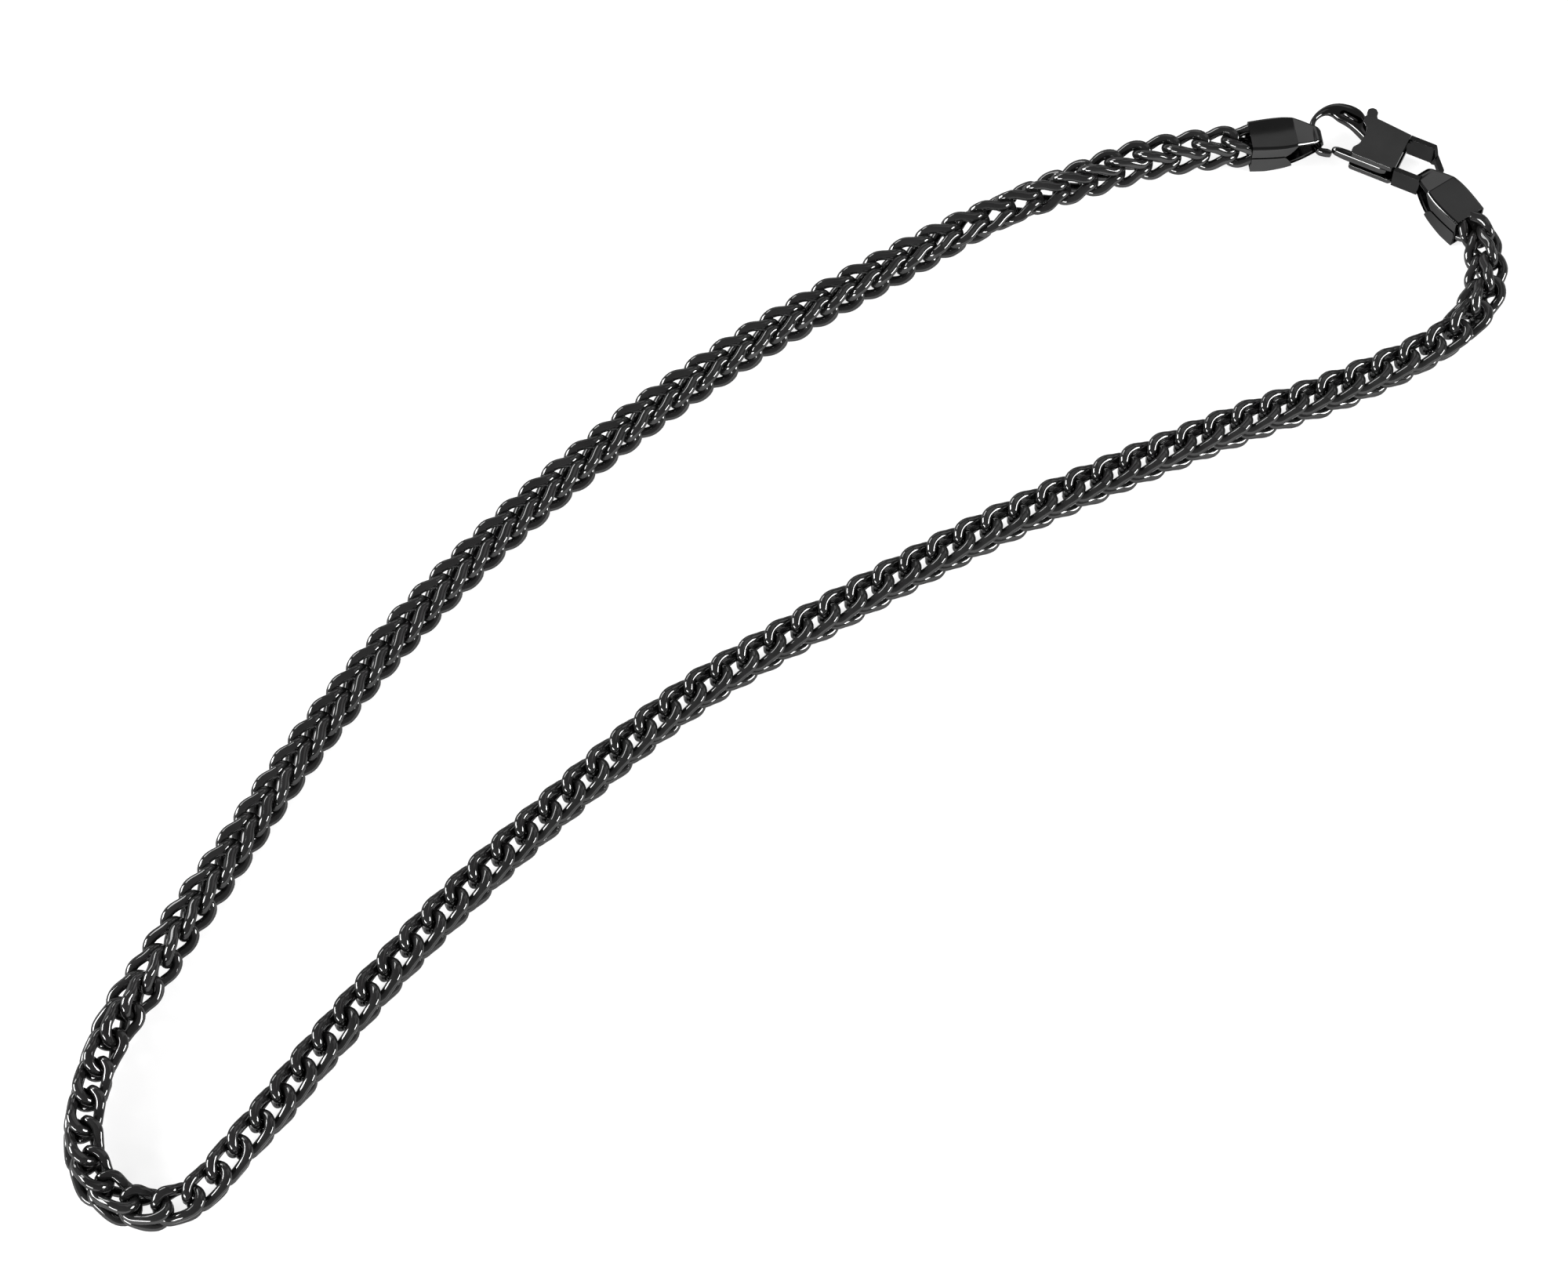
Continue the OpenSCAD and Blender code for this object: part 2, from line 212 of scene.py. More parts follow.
# The camera's place in the frame of the route, 62 degrees above the table. It looks at the
# route's zero
CAMERA_PLACE = (-186.4, -238.5, 569.3)
CAMERA_LENS = 93.6
CAMERA_SENSOR_W = 36


def unit(v):
    return v / np.linalg.norm(v, axis=-1, keepdims=True)


def heading(turn):
    a = math.radians(turn)
    return np.array([math.cos(a), math.sin(a)])


def left_of(v):
    return np.stack([-v[..., 1], v[..., 0]], axis=-1)


def in_clasp(p):
    forward = heading(CLASP_TURN)
    return CLASP_PLACE + p[0] * forward + p[1] * left_of(forward)


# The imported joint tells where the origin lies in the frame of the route
pivot_in_frame = np.array(frame["joints"][0]["pos_m"][:2]) / MM
MIDDLE = np.append(in_clasp(PIVOT) - pivot_in_frame, 0)

LEFT_MOUTH = in_clasp(HOOK_HOLD) - HOLD_X * heading(LEFT_CAP_TURN)
RIGHT_MOUTH = in_clasp(TAIL_HOLD) - TAIL_HOLD_X * heading(RIGHT_CAP_TURN)


def in_frame(points):
    """Points in the frame of the route to the frame of the part, both in millimetres."""
    return np.asarray(points, float) - MIDDLE


def from_plan(place, turn, z, points):
    """Points of a piece's own plan frame, placed in the part's frame."""
    points = np.asarray(points, float)
    forward = heading(turn)
    flat = np.asarray(place) + points[:, :1] * forward + points[:, 1:2] * left_of(forward)
    return in_frame(np.column_stack([flat, points[:, 2] + z]))


def from_clasp(points):
    return from_plan(CLASP_PLACE, CLASP_TURN, CLASP_Z, points)


# Materials


class Nodes:
    """A material's node tree, with short ways to add and link nodes."""

    def __init__(self, name):
        self.material = bpy.data.materials.new(name)
        self.material.use_nodes = True
        self.tree = self.material.node_tree
        self.shader = self.tree.nodes["Principled BSDF"]

    def add(self, kind, inputs=None, **settings):
        node = self.tree.nodes.new(kind)
        for key, value in settings.items():
            setattr(node, key, value)
        for key, value in (inputs or {}).items():
            if isinstance(value, bpy.types.NodeSocket):
                self.tree.links.new(value, node.inputs[key])
            else:
                node.inputs[key].default_value = value
        return node

    def link(self, socket, name):
        self.tree.links.new(socket, self.shader.inputs[name])

    def ramp(self, factor, low, high, start, end):
        node = self.add("ShaderNodeValToRGB", {"Fac": factor})
        first, last = node.color_ramp.elements
        first.position, first.color = start, (*low, 1)
        last.position, last.color = end, (*high, 1)
        return node.outputs["Color"]

    def between(self, value, low, high):
        node = self.add("ShaderNodeMapRange", {"Value": value, "To Min": low, "To Max": high})
        return node.outputs["Result"]


def grey(value):
    return (value, value, value)


def black_steel(name, dark, light, shine, dull, cloud, wave_depth, metallic=1.0):
    """Black plated steel: clouded colour, uneven polish, a slight wave and fine polishing lines."""
    n = Nodes(name)
    where = n.add("ShaderNodeTexCoord").outputs["Object"]
    clouds = n.add(
        "ShaderNodeTexNoise", {"Vector": where, "Scale": cloud, "Detail": 3.0, "Roughness": 0.5}
    )
    smudges = n.add(
        "ShaderNodeTexNoise",
        {"Vector": where, "Scale": cloud * SMUDGE_SHARE, "Detail": 5.0, "Roughness": 0.6},
    )
    turned = n.add(
        "ShaderNodeMapping", {"Vector": where, "Rotation": (0, 0, LINE_TURN), "Scale": (5, 1, 1)}
    )
    lines = n.add(
        "ShaderNodeTexNoise", {"Vector": turned.outputs["Vector"], "Scale": LINE_SCALE, "Detail": 2.0}
    )
    wave = n.add("ShaderNodeTexNoise", {"Vector": where, "Scale": WAVE_SCALE, "Detail": 1.0})
    grain = n.add(
        "ShaderNodeBump",
        {"Height": lines.outputs["Fac"], "Strength": 1.0, "Distance": wave_depth * LINE_DEPTH},
    )
    bump = n.add("ShaderNodeBump", {
        "Height": wave.outputs["Fac"], "Strength": 1.0, "Distance": wave_depth,
        "Normal": grain.outputs["Normal"],
    })
    n.link(n.ramp(clouds.outputs["Fac"], grey(dark), grey(light), 0.3, 0.7), "Base Color")
    n.link(n.between(smudges.outputs["Fac"], shine, dull), "Roughness")
    n.link(bump.outputs["Normal"], "Normal")
    n.shader.inputs["Metallic"].default_value = metallic
    n.shader.inputs["Specular Tint"].default_value = (*grey(REFLECTED_GREY), 1)
    n.shader.inputs["Coat Weight"].default_value = 0.1
    n.shader.inputs["Coat Roughness"].default_value = 0.03
    return n.material


LINK_STEEL = black_steel(
    "link_black_steel", dark=0.05, light=0.072, shine=0.03, dull=0.08, cloud=160.0,
    wave_depth=0.0000012, metallic=0.86,
)
CAP_STEEL = black_steel(
    "cap_black_steel", dark=0.06, light=0.072, shine=0.07, dull=0.15, cloud=120.0, wave_depth=0.000003
)
# The tail ring's steel is the clasp's steel with a darker base colour: painted shade that darkens the whole
# ring
RING_STEEL_PAINTED_SHADE = black_steel(
    "ring_black_steel_painted_shade", dark=0.024, light=0.034, shine=0.08, dull=0.18, cloud=140.0,
    wave_depth=0.000004,
)
CLASP_STEEL = black_steel(
    "clasp_black_steel", dark=0.06, light=0.074, shine=0.07, dull=0.16, cloud=140.0,
    wave_depth=0.000004,
)


# Meshes


def new_object(name, points, faces, smooth=True):
    """A closed mesh with its faces turned outwards."""
    points = np.asarray(points, float)
    if len(faces) < TESTED_FACES:
        volume = sum(
            np.dot(points[face[0]], np.cross(points[face[k]], points[face[k + 1]]))
            for face in faces for k in range(1, len(face) - 1)
        )
        faces = [tuple(face)[::-1] if volume < 0 else tuple(face) for face in faces]
    mesh = bpy.data.meshes.new(name)
    mesh.from_pydata([tuple(p) for p in points], [], [tuple(f) for f in faces])
    mesh.update()
    mesh.polygons.foreach_set("use_smooth", [smooth] * len(mesh.polygons))
    obj = bpy.data.objects.new(name, mesh)
    bpy.context.scene.collection.objects.link(obj)
    return obj


def dress(obj, material, slot, body, *nodes):
    """Keeps a finished piece above the table, scales it to metres and gives it its material and
    its place in the part."""
    for vertex in obj.data.vertices:
        vertex.co.z = max(vertex.co.z, 0)
    obj.data.transform(Matrix.Scale(MM, 4))
    obj.data.materials.append(material)
    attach(obj, body)
    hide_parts(*nodes)
    return obj


def finished(obj):
    """Applies the object's modifiers to its mesh."""
    bpy.context.view_layer.update()
    shape = obj.evaluated_get(bpy.context.evaluated_depsgraph_get())
    mesh = bpy.data.meshes.new_from_object(shape)
    obj.modifiers.clear()
    obj.data = mesh
    return obj


def combine(base, tool, how):
    """Joins, cuts or intersects base with tool, which is used up."""
    step = base.modifiers.new(how, "BOOLEAN")
    step.operation = how
    step.object = tool
    step.solver = "EXACT"
    finished(base)
    bpy.data.objects.remove(tool)
    return base


def merged(name, parts):
    """Several objects as one mesh, with their shading kept."""
    for obj in bpy.context.view_layer.objects:
        obj.select_set(obj in parts)
    bpy.context.view_layer.objects.active = parts[0]
    bpy.ops.object.join()
    parts[0].name = name
    return parts[0]


def soften(obj, width, segments=3, angle=28):
    """Rounds the sharp edges over, width in millimetres."""
    bevel = obj.modifiers.new("round", "BEVEL")
    bevel.width = width
    bevel.segments = segments
    bevel.limit_method = "ANGLE"
    bevel.angle_limit = math.radians(angle)
    bevel.miter_outer = "MITER_ARC"
    bevel.harden_normals = True
    for face in obj.data.polygons:
        face.use_smooth = True
    return finished(obj)


def between_outlines(name, first, second, place):
    """Two outlines joined into a solid. place takes their points to the part's frame."""
    count = len(first)
    faces = [(i, (i + 1) % count, count + (i + 1) % count, count + i) for i in range(count)]
    faces.append(tuple(range(count))[::-1])
    faces.append(tuple(range(count, 2 * count)))
    return new_object(name, place(first + second), faces, smooth=False)


def prism(name, outline, low, high, place):
    """An outline in plan, carried from one height to another."""
    first, second = ([(x, y, z) for x, y in outline] for z in (low, high))
    return between_outlines(name, first, second, place)


def side_prism(name, outline, half, place):
    """An outline seen from the side, carried across by half to either side."""
    first, second = ([(x, y, z) for x, z in outline] for y in (-half, half))
    return between_outlines(name, first, second, place)


def tube_faces(rings, sides):
    """The faces of a tube of closed sections, with both ends shut."""
    faces = [
        (i * sides + k, i * sides + (k + 1) % sides, (i + 1) * sides + (k + 1) % sides, (i + 1) * sides + k)
        for i in range(rings - 1) for k in range(sides)
    ]
    faces.append(tuple(range(sides))[::-1])
    faces.append(tuple(range((rings - 1) * sides, rings * sides)))
    return faces


def rounded(outline, radius, steps=5):
    """An outline with its corners rounded over."""
    p = np.asarray(outline, float)
    radii = np.broadcast_to(radius, len(p))
    out = []
    for i, r in enumerate(radii):
        back, ahead = p[i - 1] - p[i], p[(i + 1) % len(p)] - p[i]
        room = CORNER_ROOM * min(np.linalg.norm(back), np.linalg.norm(ahead))
        half = 0.5 * math.acos(np.clip(np.dot(unit(back), unit(ahead)), -1, 1))
        cut = min(room, r / max(math.tan(half), 0.05))
        if r <= 0 or cut < 0.01:
            out.append(p[i])
            continue
        a, b = p[i] + unit(back) * cut, p[i] + unit(ahead) * cut
        for k in range(steps + 1):
            u = k / steps
            out.append((1 - u) ** 2 * a + 2 * u * (1 - u) * p[i] + u * u * b)
    return np.array(out)


def smooth_step(u, start, end, leave, arrive):
    """Points at shares u of a curve from start to end, with its slopes at both ends."""
    return (
        (2 * u**3 - 3 * u**2 + 1) * start + (u**3 - 2 * u**2 + u) * leave
        + (3 * u**2 - 2 * u**3) * end + (u**3 - u**2) * arrive
    )


def closed_spline(rows, count):
    """Evenly spaced points on a smooth closed curve through the rows."""
    p = np.asarray(rows, float)
    n = len(p)
    gap = np.sqrt(np.linalg.norm(np.roll(p, -1, 0) - p, axis=1))
    rise = (np.roll(p, -1, 0) - p) / gap[:, None]
    system = np.zeros((n, n))
    for i in range(n):
        system[i, i - 1] = gap[i]
        system[i, i] = 2 * (gap[i - 1] + gap[i])
        system[i, (i + 1) % n] = gap[i - 1]
    pull = 3 * (gap[:, None] * np.roll(rise, 1, 0) + np.roll(gap, 1)[:, None] * rise)
    slope = np.linalg.solve(system, pull)
    u = np.linspace(0, 1, SPLINE_STEPS, endpoint=False)[:, None]
    dense = []
    for i in range(n):
        j = (i + 1) % n
        dense.append(smooth_step(u, p[i], p[j], gap[i] * slope[i], gap[i] * slope[j]))
    dense = np.vstack(dense + [p[:1]])
    travel = np.append(0, np.cumsum(np.linalg.norm(np.diff(dense, axis=0), axis=1)))
    at = np.linspace(0, travel[-1], count, endpoint=False)
    return np.column_stack([np.interp(at, travel, dense[:, k]) for k in range(3)])


def open_spline(rows, count):
    """Points on a smooth curve through the rows, for rows of any width."""
    p = np.asarray(rows, float)
    at = np.linspace(0, len(p) - 1, count)
    i = np.minimum(at.astype(int), len(p) - 2)
    u = (at - i)[:, None]
    ends = np.vstack([2 * p[0] - p[1], p, 2 * p[-1] - p[-2]])
    slope = (ends[2:] - ends[:-2]) / 2
    return smooth_step(u, p[i], p[i + 1], slope[i], slope[i + 1])


# Chain


def make_route():
    """Points of the chain's middle line in plan, and how far along it each one lies."""
    depth = np.array([[ROUTE_DEPTH], [0], [-ROUTE_STRAIGHT]])
    p = np.vstack([
        LEFT_MOUTH + depth * heading(LEFT_CAP_TURN), ROUTE_POINTS,
        RIGHT_MOUTH + depth[::-1] * heading(RIGHT_CAP_TURN),
    ])
    chord = np.linalg.norm(np.diff(p, axis=0), axis=1)
    slope = np.diff(p, axis=0) / chord[:, None]
    inner = slope[1:] * chord[:-1, None] + slope[:-1] * chord[1:, None]
    inner = inner / (chord[1:] + chord[:-1])[:, None]
    tangent = np.vstack([2 * slope[0] - inner[0], inner, 2 * slope[-1] - inner[-1]])
    u = np.arange(CURVE_STEPS)[:, None] / CURVE_STEPS
    parts = [
        smooth_step(u, p[i], p[i + 1], chord[i] * tangent[i], chord[i] * tangent[i + 1])
        for i in range(len(chord))
    ]
    curve = np.vstack(parts + [p[-1:]])
    travel = np.append(0, np.cumsum(np.linalg.norm(np.diff(curve, axis=0), axis=1)))
    for axis, begin, length, shift in TURN_SHIFTS:
        curve[:, axis] += shift * np.clip((begin - curve[:, axis]) / length, 0, 1)
    return curve, travel


CURVE, TRAVEL = make_route()
ROUTE_LENGTH = TRAVEL[-1]


def place(s):
    return np.stack([np.interp(s, TRAVEL, CURVE[:, k]) for k in (0, 1)], axis=-1)


def on_route(start, link):
    """A straight link's points, along, aside and up, moved to where the chain runs."""
    s = start + link[:, 0]
    turn = np.interp(s / ROUTE_LENGTH, *np.array(ROLL_TABLE).T)
    rise = SECTION_W * (FLAT_RISE + EDGE_RISE * np.abs(np.sin(np.radians(2 * turn)))) + REST_GAP
    c, q = np.cos(np.radians(turn)), np.sin(np.radians(turn))
    left = link[:, 2] * c - link[:, 1] * q
    up = -link[:, 2] * q - link[:, 1] * c
    ahead = unit(place(s + HEADING_STEP) - place(s - HEADING_STEP))
    at = place(s) + left[:, None] * left_of(ahead)
    return np.column_stack([at, rise + up])


def wire_ring(path, thickness, sides):
    """A round wire swept round a closed path, with its section carried on without twist."""
    count = len(path)
    tangent = unit(np.roll(path, -1, 0) - np.roll(path, 1, 0))
    # Any direction that isn't the first tangent's will do
    carried = [unit(np.cross(tangent[0], (1.0, 0.0, 0.6)))]
    for t in np.vstack([tangent[1:], tangent[:1]]):
        carried.append(unit(carried[-1] - t * np.dot(carried[-1], t)))
    closing = carried.pop()
    twist = math.atan2(np.dot(np.cross(carried[0], closing), tangent[0]), np.dot(carried[0], closing))
    side = np.array(carried)
    across = np.cross(tangent, side)
    points, faces = [], []
    for i in range(count):
        a = 2 * math.pi * np.arange(sides) / sides - twist * i / count
        section = np.outer(np.cos(a), side[i]) + np.outer(np.sin(a), across[i])
        points.append(path[i] + thickness / 2 * section)
        here, after = i * sides, (i + 1) % count * sides
        for k in range(sides):
            near = (k + 1) % sides
            faces.append((here + k, after + k, after + near, here + near))
    return np.vstack(points), np.array(faces)


def ground(value):
    """Sides a little flattened, as by grinding, beyond GROUND_HALF."""
    size = np.abs(value)
    over = np.maximum(size - GROUND_HALF, 0)
    return np.sign(value) * (size - over + GROUND_SOFT * np.tanh(over / GROUND_SOFT))


def make_link():
    """The points and faces of one straight link."""
    back = [(t, -y, z) for t, y, z in LINK_HALF[-2:0:-1]]
    path = closed_spline(LINK_HALF + back, LINK_STATIONS)
    points, faces = wire_ring(path, WIRE_D, WIRE_SIDES)
    points[:, 1] = ground(points[:, 1])
    points[:, 2] = ground(points[:, 2])
    return points, faces


def make_chain():
    link, faces = make_link()
    first = ROUTE_DEPTH + LINK_GRIP
    count = round((ROUTE_LENGTH - 2 * first) / LINK_PITCH) + 1
    step = (ROUTE_LENGTH - 2 * first) / (count - 1)
    turn_link = math.floor(count * UPPER_SHARE)
    for name, numbers in (
        ("upper_chain", range(turn_link + 1)),
        ("lower_chain", range(turn_link + 1, count)),
    ):
        points = np.vstack([on_route(first + n * step, link) for n in numbers])
        points[:, 2] = np.maximum(points[:, 2], FLOOR_GAP)
        rings = np.vstack([faces + k * len(link) for k in range(len(numbers))])
        strand = new_object(name + "_links", in_frame(points), rings.tolist())
        dress(strand, LINK_STEEL, "link_steel", "necklace", name)


# End caps


def cap_heights(x, inset):
    """The cap's underside and top at a distance from its mouth, seen from the side."""
    low = np.interp(x, [CAP_LOW_BEND, FOLD_X], [0, FOLD_Z - FOLD_R]) + inset
    high = np.interp(x, [0, CAP_TOP_BEND, FOLD_X], [CAP_HEIGHT, CAP_HEIGHT, FOLD_Z + FOLD_R]) - inset
    if x > FOLD_X:
        reach = math.sqrt(max((FOLD_R - inset) ** 2 - (x - FOLD_X) ** 2, 0.0004))
        low, high = FOLD_Z - reach, FOLD_Z + reach
    return low, high


def cap_plan_rows(inset):
    """Half widths of the cap in plan, from its mouth to its tip."""
    mouth = CAP_MOUTH_W / 2 - inset
    belly = CAP_BELLY_W / 2 + 0.1 - inset
    tip = CAP_TIP_W / 2 + 0.3 - inset
    rows = [(-2, mouth - 0.1)]
    for u in np.linspace(0, 1, 6):
        rows.append((BELLY_SHARE * CAP_LENGTH * u, mouth + (belly - mouth) * math.sin(math.pi / 2 * u)))
    for u in np.linspace(0, 1, 10)[1:]:
        x = (BELLY_SHARE + (1 - BELLY_SHARE) * u) * CAP_LENGTH
        rows.append((x, belly - (belly - tip) * (1 - math.cos(math.pi / 2 * u))))
    return np.array(rows)


def both_sides(rows):
    """A closed outline from half widths along a middle line."""
    return [(x, -y) for x, y in rows] + [(x, y) for x, y in rows[::-1]]


def cap_form(name, inset, corner, put):
    """The cap's full form, narrowing to a folded tip, as sections with round corners."""
    nose_turns = np.radians([0, 10, 20, 30, 40, 50, 60, 68, 75, 81, 86, 89])
    nose = FOLD_X + (FOLD_R - inset) * np.sin(nose_turns)
    bend = CAP_TOP_BEND + np.array([-0.16, -0.05, 0.05, 0.16])
    straight = np.linspace(-1.5, FOLD_X - 0.2, 24)
    stations = np.unique(np.round(np.concatenate([straight, bend, nose]), 4))
    rows = cap_plan_rows(inset)
    turns = np.radians(np.arange(0, 91, 15))
    points = []
    for x in stations:
        low, high = cap_heights(x, inset)
        half = np.interp(x, rows[:, 0], rows[:, 1])
        r = min(corner, CORNER_ROOM * (high - low), 0.9 * half)
        middle_y, top, bottom = half - r, high - r, low + r
        quarter = [(middle_y + r * math.cos(a), r * math.sin(a)) for a in turns]
        points += [(x, y, top + z) for y, z in quarter] + [(x, -y, top + z) for y, z in quarter[::-1]]
        points += [(x, -y, bottom - z) for y, z in quarter] + [(x, y, bottom - z) for y, z in quarter[::-1]]
    return new_object(name, put(points), tube_faces(len(stations), 4 * len(turns)), smooth=True)


def cap_window_outline():
    """The opening in the side walls: behind the fold, with a slanting end towards the chain."""
    inner = CAP_WALL + 0.02
    nose = [
        (FOLD_X + (FOLD_R - inner) * math.cos(a), FOLD_Z + (FOLD_R - inner) * math.sin(a))
        for a in np.radians(np.arange(-90, 91, 10))
    ]
    # Each row: share of the cap's length, height
    wall_end = [
        (0.62, CAP_HEIGHT - inner), (0.575, 5.1), (0.52, 4.2), (0.455, 3.62), (0.5, 2.6),
        (0.55, 0.93 + inner),
    ]
    wall_end = [(share * CAP_LENGTH, height) for share, height in wall_end]
    return wall_end[1:] + nose + wall_end[:1]


def cap_flange(put):
    """The lower strip's side walls, which lie a little outside the upper strip's."""
    flange = prism("flange", both_sides(cap_plan_rows(-FLANGE_PROUD)), -1, 3.6, put)
    rows = cap_plan_rows(FLANGE_INNER)
    # The inside runs out past the mouth
    rows[0, 0] -= 1
    combine(flange, prism("inside", both_sides(rows), -2, 4, put), "DIFFERENCE")
    side = [
        (0, FLANGE_LIFT), (CAP_LOW_BEND, FLANGE_LIFT), (0.56 * CAP_LENGTH, 0.93),
        (0.53 * CAP_LENGTH, 2.1), (0.47 * CAP_LENGTH, 3.3), (0.44 * CAP_LENGTH, FLANGE_TOP),
        (0.1, FLANGE_TOP), (0, 3.4),
    ]
    combine(flange, side_prism("flange_side", side, CAP_BELLY_W, put), "INTERSECT")
    return soften(flange, 0.1)


def make_cap(name, mouth, turn):
    def put(points):
        return from_plan(mouth, turn, 0, points)

    shell = cap_form(name + "_strip", 0, CAP_CORNER, put)
    before_mouth = [(-4, -1), (0, -1), (0, 9), (-4, 9)]
    for tool in (
        cap_form("hollow", CAP_WALL, HOLLOW_CORNER, put),
        side_prism("mouth", before_mouth, 9, put),
        side_prism("window", cap_window_outline(), CAP_BELLY_W, put),
    ):
        combine(shell, tool, "DIFFERENCE")
    soften(shell, 0.08, segments=2, angle=50)
    cap = merged(name + "_strip", [shell, cap_flange(put)])
    dress(cap, CAP_STEEL, "cap_steel", "necklace", name)


# Clasp


def hook_rows():
    """The hook's bar from root to end. Each row: a point of its outer side and one of its inner
    side, along and aside, then its middle height and half height."""
    hold_u, hold_v = HOOK_HOLD
    return [
        (7.2, -3.3, 7.2, -0.6, 0.5, 0.95), (8.4, -4.7, 8.5, -1.25, 0.5, 0.95),
        (9.6, -5.7, 10.0, -1.95, 0.45, 0.9), (11, -6.15, 11.2, -2.3, 0.35, 0.85),
        (12.4, -6.2, 12.6, -2.6, 0.2, 0.8), (13.9, -5.8, 13.8, -3.05, 0.1, 0.72),
        (15.3, -4.75, 14.8, -2.95, 0, 0.65), (16.3, -3, 15.5, -2.1, 0, 0.58),
        (HOOK_REACH, -1, 15.8, -0.9, 0, 0.55), (16.45, 0.7, 15.45, 0.5, 0, 0.55),
        (15.85, 1.95, 14.9, 1.5, 0, 0.55),
        (hold_u + 0.4, hold_v + 0.55, hold_u - 0.5, hold_v - 0.05, 0, 0.55),
        (hold_u - 0.45, hold_v + 1.6, hold_u - 1.3, hold_v + 0.95, 0, 0.6),
        (hold_u - 1.65, hold_v + 2.35, hold_u - 2.1, hold_v + 1.2, 0, 0.8),
        (hold_u - 2.9, hold_v + 2.25, hold_u - 3.0, hold_v + 0.95, 0, 0.85),
        (hold_u - 3.75, hold_v + 1.95, hold_u - 3.8, hold_v + 1.05, 0, 0.7),
    ]


def oval(angles, square):
    """Cosines and sines of an oval that nears a rectangle as square nears zero."""
    c, q = np.cos(angles), np.sin(angles)
    return np.sign(c) * np.abs(c) ** square, np.sign(q) * np.abs(q) ** square


def make_hook(stations=90, sides=32):
    """The hook's bar: nearly square at its root and oval from its middle on."""
    rows = open_spline(hook_rows(), stations)
    points = []
    angles = 2 * math.pi * np.arange(sides) / sides
    for i, (ou, ov, iu, iv, middle, height) in enumerate(rows):
        c, q = oval(angles, 0.42 + 0.5 * min(1, 1.9 * i / (stations - 1)))
        points += [
            ((ou + iu) / 2 + (ou - iu) / 2 * a, (ov + iv) / 2 + (ov - iv) / 2 * a, middle + height * b)
            for a, b in zip(c, q)
        ]
    return new_object("hook", from_clasp(points), tube_faces(stations, sides))


def rod(name, rows, place_of, sides=24, square=1.0, groove=0.0):
    """A straight rod along the clasp. Each row: along, half width and half height."""
    angles = 2 * math.pi * np.arange(sides) / sides
    c, q = oval(angles, square)
    points = []
    for u, half_w, half_h in rows:
        grooved = (c > 0) * (GROOVE_SPAN[0] < u < GROOVE_SPAN[1])
        dent = groove * np.exp(-((q * half_h / GROOVE_HALF) ** 2)) * grooved
        points += [place_of(u, half_w * a - d, half_h * b) for a, b, d in zip(c, q, dent)]
    return new_object(name, from_clasp(points), tube_faces(len(rows), sides))


def slot_outline(a, b, radius):
    """A slot in plan between two points, with round ends."""
    a, b = np.array(a, float), np.array(b, float)
    start = math.degrees(math.atan2(*(b - a)[::-1]))
    out = []
    for centre, base in ((b, start - 90), (a, start + 90)):
        out += [centre + radius * heading(base + 15 * k) for k in range(13)]
    return out


def body_plate_outline():
    half = BODY_WIDTH / 2
    corners = [
        (0, -half), (BODY_LENGTH * 0.75, -half - 0.6), (BODY_LENGTH + 0.6, -half - 0.5),
        (BODY_LENGTH + 0.4, -half + 1), (EYE_X + 0.3, -2), (EYE_X, -0.3), (EYE_X + 0.2, 1.5),
        (BODY_LENGTH, 2.6), (BODY_LENGTH - 0.1, half), (0.6, half), (0, half - 0.5),
    ]
    return rounded(corners, [0.12, 6, 0.5, 0.8, 1.5, 2.5, 1.5, 0.8, 1.3, 0.4, 0.3])


def pin_circle(radius):
    """A circle round the lever's pin."""
    return [radius * heading(15 * k) + PIVOT for k in range(24)]


def make_clasp_body():
    plates = []
    for side in (-1, 1):
        middle = side * (BODY_THICK - PLATE_THICK) / 2
        low, high = middle - PLATE_THICK / 2, middle + PLATE_THICK / 2
        plates.append(soften(prism("plate", body_plate_outline(), low, high, from_clasp), 0.22))
    hook = make_hook()
    recess = slot_outline(RECESS_FROM, RECESS_TO, RECESS_R)
    combine(hook, prism("recess", recess, RECESS_FLOOR, 3, from_clasp), "DIFFERENCE")
    soften(hook, 0.12, angle=40)
    ahead = unit(np.array(RECESS_TO) - RECESS_FROM)

    def in_recess(u, v, z):
        return (*(RECESS_FROM + u * ahead + (v + SPRING_ASIDE) * left_of(ahead)), SPRING_Z + z)

    spring = rod(
        "spring",
        [(0.1, 0.05, 0.05), (0.25, SPRING_R, SPRING_R), (2.8, SPRING_R, SPRING_R), (2.95, 0.05, 0.05)],
        in_recess,
    )
    pin_half = BODY_THICK / 2 - 0.3
    pin = prism("pin", pin_circle(PIN_D / 2), -pin_half, pin_half, from_clasp)
    body = merged("clasp_housing", [hook, spring, pin, *plates])
    dress(body, CLASP_STEEL, "clasp_steel", "necklace", "clasp_body")


